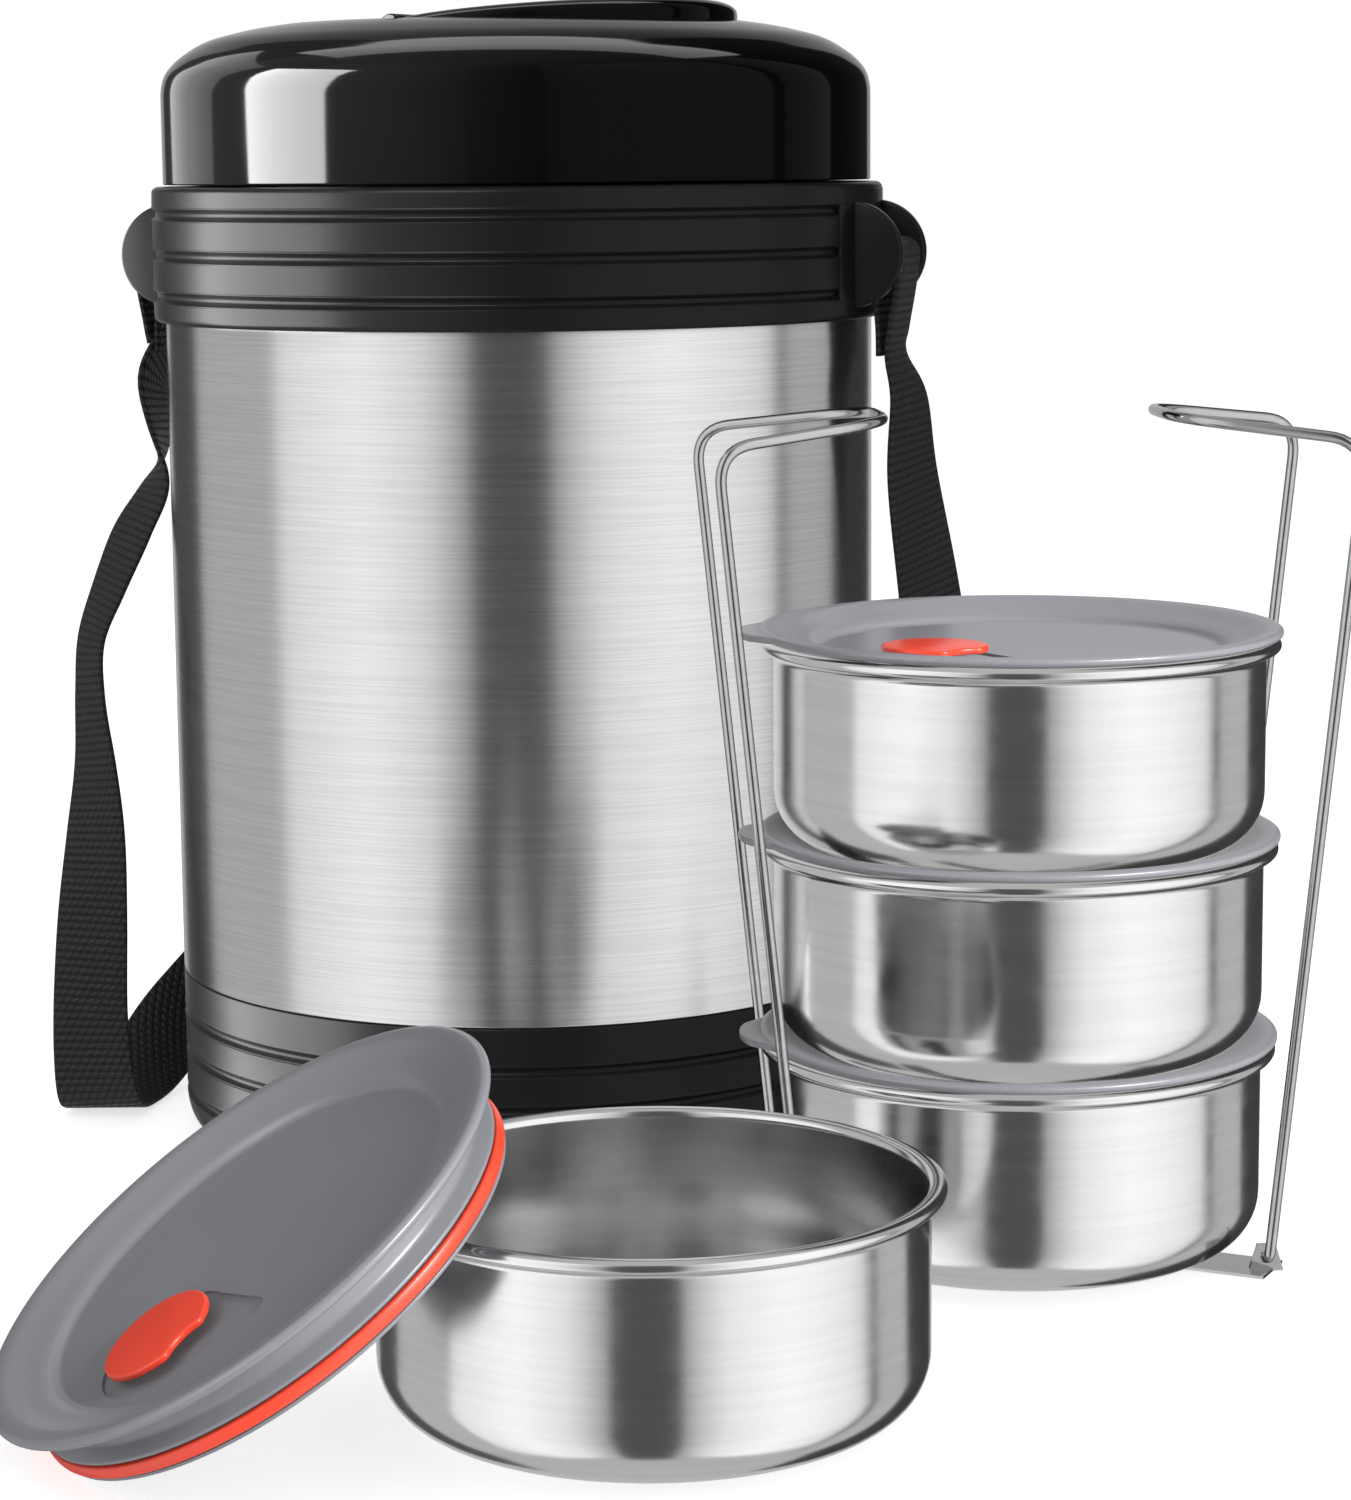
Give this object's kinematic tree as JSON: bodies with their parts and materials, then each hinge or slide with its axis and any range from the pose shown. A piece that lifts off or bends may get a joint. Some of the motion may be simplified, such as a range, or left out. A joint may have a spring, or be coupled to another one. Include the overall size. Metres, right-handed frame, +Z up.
{
  "type": "insulated tiffin carrier",
  "caption": "Insulated food carrier: closed round jacket with strap, lifting rack of stacked lidded tins, and an open tin with its lid leaning on it.",
  "frame": {"origin": "centre of the jacket's underside, on the surface it stands on", "axes": "+Z up the jacket's axis; -Y towards the viewer, where the open tin stands; +X towards the rack of tins"},
  "size_m": [0.2903, 0.3914, 0.2645],
  "materials": {
    "brushed_steel": "brushed round the sleeve",
    "polished_steel": "polished stainless steel",
    "black_plastic": "satin black moulding",
    "gloss_black": "high gloss black",
    "foam": "rigid foam, sealed in",
    "pale_silicone": "soft matt seal",
    "webbing": "woven nylon webbing",
    "grey_plastic": "satin grey",
    "red_silicone": "soft satin orange-red"
  },
  "bodies": {
    "jacket": {"base_cup": "black_plastic", "outer_sleeve": "brushed_steel", "collar": "black_plastic", "inner_liner": "brushed_steel", "foam_insulation": "foam", "strap_bar_left": "black_plastic", "strap_bar_right": "black_plastic", "shoulder_strap": "webbing"},
    "lid_seal": {"lid_gasket": "pale_silicone"},
    "jacket_lid": {"lid_shell": "gloss_black", "lid_liner": "black_plastic", "lid_foam": "foam", "lid_handle_pin_1": "polished_steel", "lid_handle_pin_2": "polished_steel"},
    "lid_handle": {"lid_handle": "gloss_black"},
    "rack": {"rack_base": "polished_steel"},
    "loop_left": {"rack_wire_left": "polished_steel"},
    "loop_right": {"rack_wire_right": "polished_steel"},
    "tin_1": {"container_1": "polished_steel"},
    "tin_lid_1": {"lid_1": "grey_plastic", "gasket_1": "red_silicone", "valve_1": "red_silicone"},
    "tin_2": {"container_2": "polished_steel"},
    "tin_lid_2": {"lid_2": "grey_plastic", "gasket_2": "red_silicone", "valve_2": "red_silicone"},
    "tin_3": {"container_3": "polished_steel"},
    "tin_lid_3": {"lid_3": "grey_plastic", "gasket_3": "red_silicone"},
    "vent_3": {"valve_3": "red_silicone"},
    "tin_4": {"container_4": "polished_steel"},
    "tin_lid_4": {"lid_4": "grey_plastic", "gasket_4": "red_silicone"},
    "vent_4": {"valve_4": "red_silicone"}
  },
  "joints": [
    {"name": "lid_lift", "type": "slide", "parent": "jacket", "child": "lid_seal", "axis": [0, 0, 1], "range_m": [0, 0.09]},
    {"name": "lid_twist", "type": "hinge", "parent": "lid_seal", "child": "jacket_lid", "pos_m": [0, 0, 0.2235], "axis": [0, 0, 1], "range_deg": [-60, 60]},
    {"name": "lid_handle_fold", "type": "hinge", "parent": "jacket_lid", "child": "lid_handle", "pos_m": [0, 0, 0.2576], "axis": [-0.5, -0.866, 0], "range_deg": [0, 90]},
    {"name": "rack_lift", "type": "slide", "parent": "jacket", "child": "rack", "axis": [0, 0, 1], "range_m": [0, 0.28]},
    {"name": "loop_left_fold", "type": "hinge", "parent": "rack", "child": "loop_left", "pos_m": [0.0595, -0.11446, 0.0032], "axis": [0.0637, -0.998, 0], "range_deg": [-5.8, 80]},
    {"name": "loop_right_fold", "type": "hinge", "parent": "rack", "child": "loop_right", "pos_m": [0.1553, -0.10834, 0.0032], "axis": [-0.0637, 0.998, 0], "range_deg": [-5.8, 80]},
    {"name": "tin_1_lift", "type": "slide", "parent": "rack", "child": "tin_1", "axis": [0, 0, 1], "range_m": [0, 0.035]},
    {"name": "tin_lid_1_lift", "type": "slide", "parent": "tin_1", "child": "tin_lid_1", "axis": [0, 0, 1], "range_m": [0, 0.035]},
    {"name": "tin_2_lift", "type": "slide", "parent": "tin_lid_1", "child": "tin_2", "axis": [0, 0, 1], "range_m": [0, 0.035]},
    {"name": "tin_lid_2_lift", "type": "slide", "parent": "tin_2", "child": "tin_lid_2", "axis": [0, 0, 1], "range_m": [0, 0.035]},
    {"name": "tin_3_lift", "type": "slide", "parent": "tin_lid_2", "child": "tin_3", "axis": [0, 0, 1], "range_m": [0, 0.035]},
    {"name": "tin_lid_3_lift", "type": "slide", "parent": "tin_3", "child": "tin_lid_3", "axis": [0, 0, 1], "range_m": [0, 0.035]},
    {"name": "vent_3_open", "type": "hinge", "parent": "tin_lid_3", "child": "vent_3", "pos_m": [0.08318, -0.12029, 0.1279], "axis": [-0.8324, -0.5541, 0], "range_deg": [0, 70]},
    {"name": "tin_4_lift", "type": "slide", "parent": "jacket", "child": "tin_4", "axis": [0, 0, 1], "range_m": [0, 0.12]},
    {"name": "tin_lid_4_lift", "type": "slide", "parent": "tin_4", "child": "tin_lid_4", "axis": [0, 0, 1], "range_m": [0, 0.08]},
    {"name": "vent_4_open", "type": "hinge", "parent": "tin_lid_4", "child": "vent_4", "pos_m": [-0.06092, -0.2438, 0.02187], "axis": [-0.624, -0.5595, -0.5455], "range_deg": [0, 70]}
  ]
}
